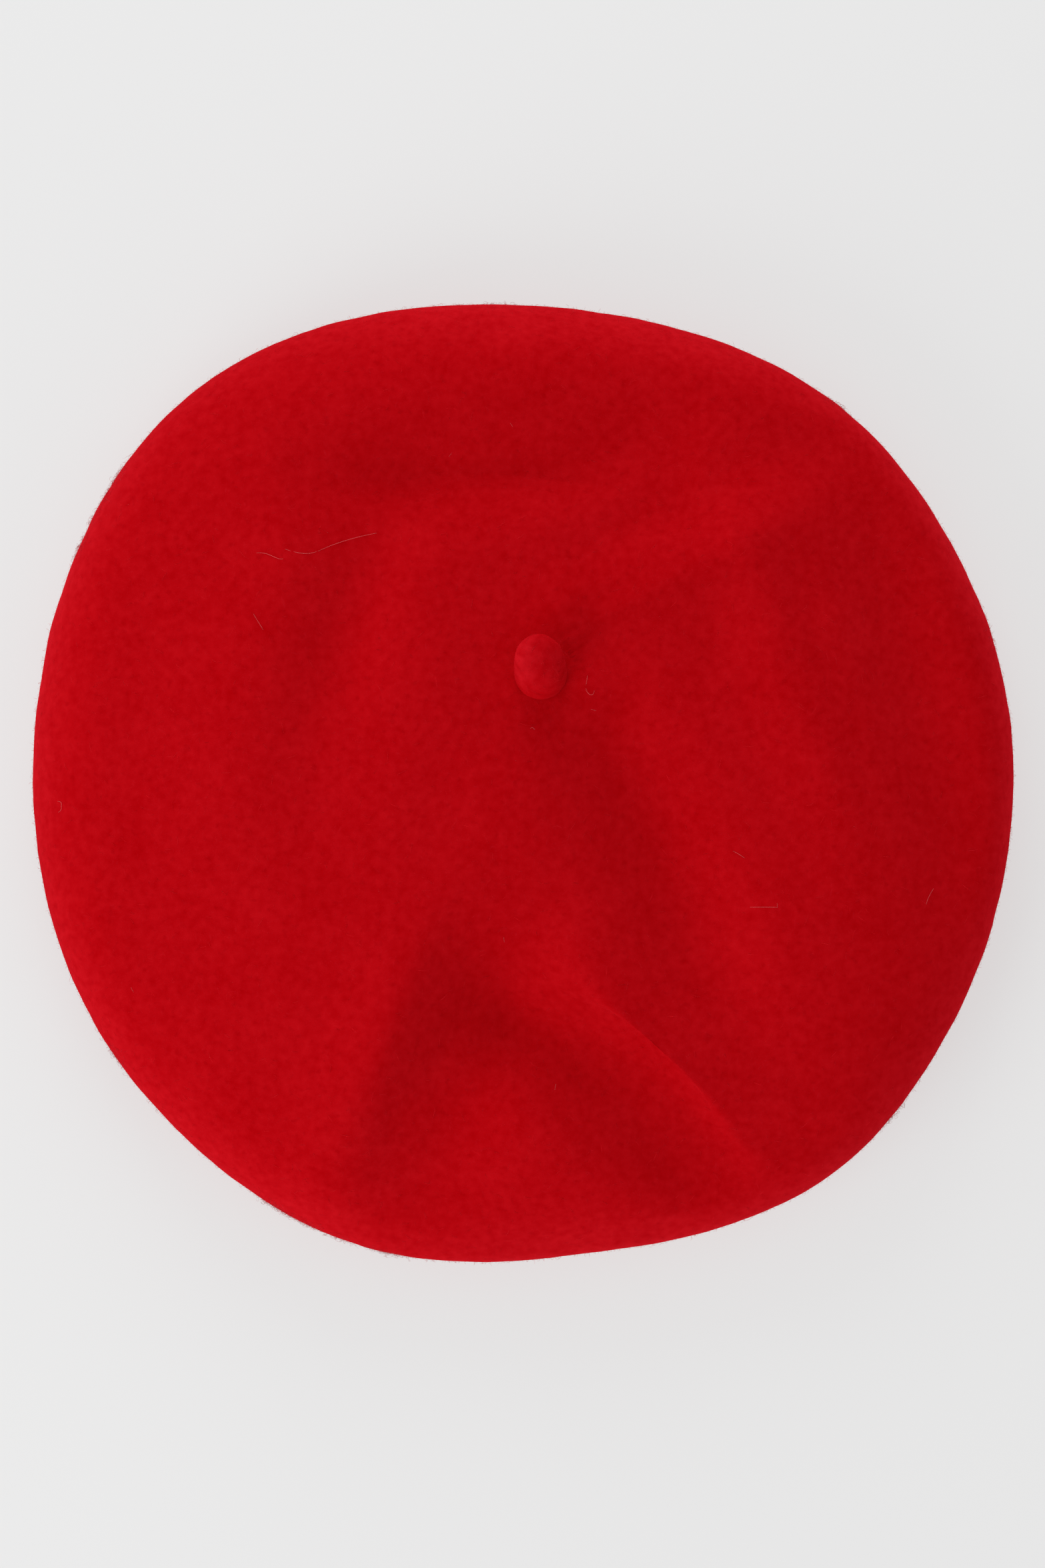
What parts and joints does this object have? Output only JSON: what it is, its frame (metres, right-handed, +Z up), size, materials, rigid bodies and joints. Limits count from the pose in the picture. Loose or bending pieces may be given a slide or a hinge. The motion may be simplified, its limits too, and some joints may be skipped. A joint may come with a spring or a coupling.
{
  "type": "knit beret",
  "caption": "Soft round beret of knitted and fulled red wool, lying crown up, with a short stem on its crown and an open head hole with a turned hem underneath.",
  "frame": {"origin": "under the middle of the beret's outline, on the surface that it rests on", "axes": "+Z up through the crown, +X to the right and +Y to the top of the beret as the picture shows it from above"},
  "size_m": [0.28, 0.2734, 0.0573],
  "materials": {
    "crown_felt": "knitted red wool, fulled until its stitches close into a soft, matt, slightly hairy felt",
    "stem_felt": "the same red fulled wool, rubbed round and a little smoother on its tip"
  },
  "bodies": {
    "root": {"crown": "crown_felt", "stem": "stem_felt"}
  },
  "joints": []
}
